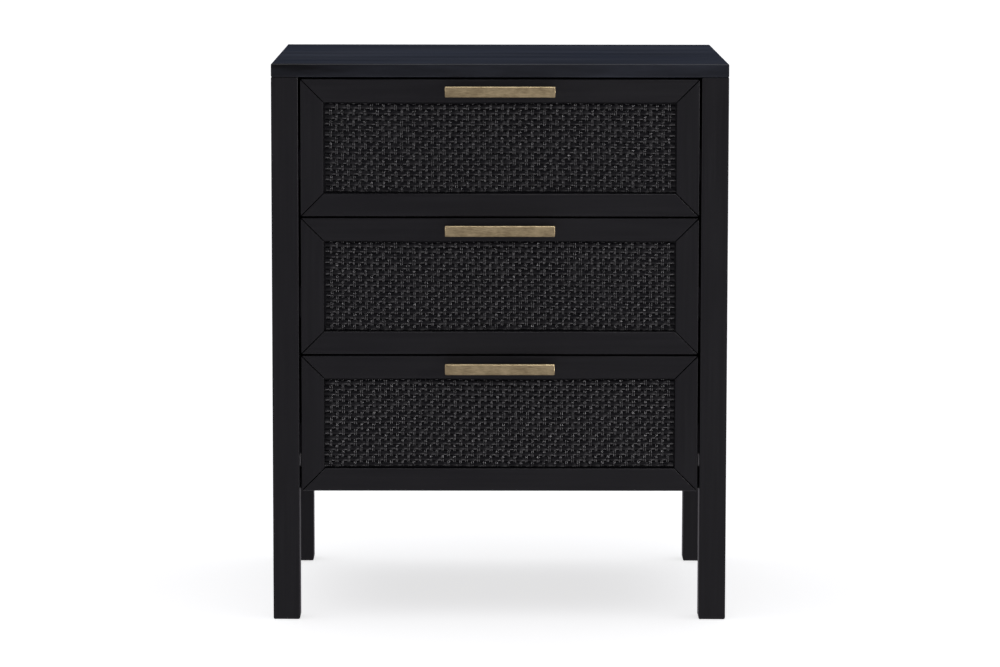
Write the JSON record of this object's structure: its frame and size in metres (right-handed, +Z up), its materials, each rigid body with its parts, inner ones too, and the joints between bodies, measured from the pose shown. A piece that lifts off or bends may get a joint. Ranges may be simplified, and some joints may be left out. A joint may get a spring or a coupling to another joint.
{
  "type": "nightstand with drawers",
  "caption": "Black nightstand on square legs with a thin flush top; the drawers have mitred frames, woven panels and slim bar pulls, and run on side slides.",
  "frame": {"origin": "on the floor, under the middle of the whole object's box with the pulls included", "axes": "+Z up, the drawers open towards -Y, +X to the right of a person facing the drawers"},
  "size_m": [0.5, 0.422, 0.615],
  "materials": {
    "top_lacquer": "satin black lacquer over a fine grain, slightly blue",
    "black_lacquer": "satin black lacquer",
    "woven_cane": "black plaited strands, slightly glossy",
    "dark_stained_board": "dark stained, matt",
    "aged_brass": "brushed, aged",
    "slide_steel": "zinc plated"
  },
  "bodies": {
    "cabinet": {"top_panel": "top_lacquer", "front_leg_left": "black_lacquer", "front_leg_right": "black_lacquer", "back_leg_left": "black_lacquer", "back_leg_right": "black_lacquer", "back_panel": "black_lacquer", "front_bottom_rail": "black_lacquer", "side_panel_left": "black_lacquer", "side_panel_right": "black_lacquer", "lower_slide_batten_left": "dark_stained_board", "lower_slide_outer_left": "slide_steel", "lower_slide_batten_right": "dark_stained_board", "lower_slide_outer_right": "slide_steel", "middle_slide_batten_left": "dark_stained_board", "middle_slide_outer_left": "slide_steel", "middle_slide_batten_right": "dark_stained_board", "middle_slide_outer_right": "slide_steel", "upper_slide_batten_left": "dark_stained_board", "upper_slide_outer_left": "slide_steel", "upper_slide_batten_right": "dark_stained_board", "upper_slide_outer_right": "slide_steel"},
    "lower_drawer": {"lower_front_top_rail": "black_lacquer", "lower_front_bottom_rail": "black_lacquer", "lower_front_left_stile": "black_lacquer", "lower_front_right_stile": "black_lacquer", "lower_woven_panel": "woven_cane", "lower_pull": "aged_brass", "lower_box_front": "dark_stained_board", "lower_box_left": "dark_stained_board", "lower_box_right": "dark_stained_board", "lower_box_back": "dark_stained_board", "lower_box_bottom": "dark_stained_board", "lower_slide_inner_left": "slide_steel", "lower_slide_inner_right": "slide_steel"},
    "middle_drawer": {"middle_front_top_rail": "black_lacquer", "middle_front_bottom_rail": "black_lacquer", "middle_front_left_stile": "black_lacquer", "middle_front_right_stile": "black_lacquer", "middle_woven_panel": "woven_cane", "middle_pull": "aged_brass", "middle_box_front": "dark_stained_board", "middle_box_left": "dark_stained_board", "middle_box_right": "dark_stained_board", "middle_box_back": "dark_stained_board", "middle_box_bottom": "dark_stained_board", "middle_slide_inner_left": "slide_steel", "middle_slide_inner_right": "slide_steel"},
    "upper_drawer": {"upper_front_top_rail": "black_lacquer", "upper_front_bottom_rail": "black_lacquer", "upper_front_left_stile": "black_lacquer", "upper_front_right_stile": "black_lacquer", "upper_woven_panel": "woven_cane", "upper_pull": "aged_brass", "upper_box_front": "dark_stained_board", "upper_box_left": "dark_stained_board", "upper_box_right": "dark_stained_board", "upper_box_back": "dark_stained_board", "upper_box_bottom": "dark_stained_board", "upper_slide_inner_left": "slide_steel", "upper_slide_inner_right": "slide_steel"}
  },
  "joints": [
    {"name": "lower_drawer_slide", "type": "slide", "parent": "cabinet", "child": "lower_drawer", "axis": [0, -1, 0], "range_m": [0, 0.26]},
    {"name": "middle_drawer_slide", "type": "slide", "parent": "cabinet", "child": "middle_drawer", "axis": [0, -1, 0], "range_m": [0, 0.26]},
    {"name": "upper_drawer_slide", "type": "slide", "parent": "cabinet", "child": "upper_drawer", "axis": [0, -1, 0], "range_m": [0, 0.26]}
  ]
}
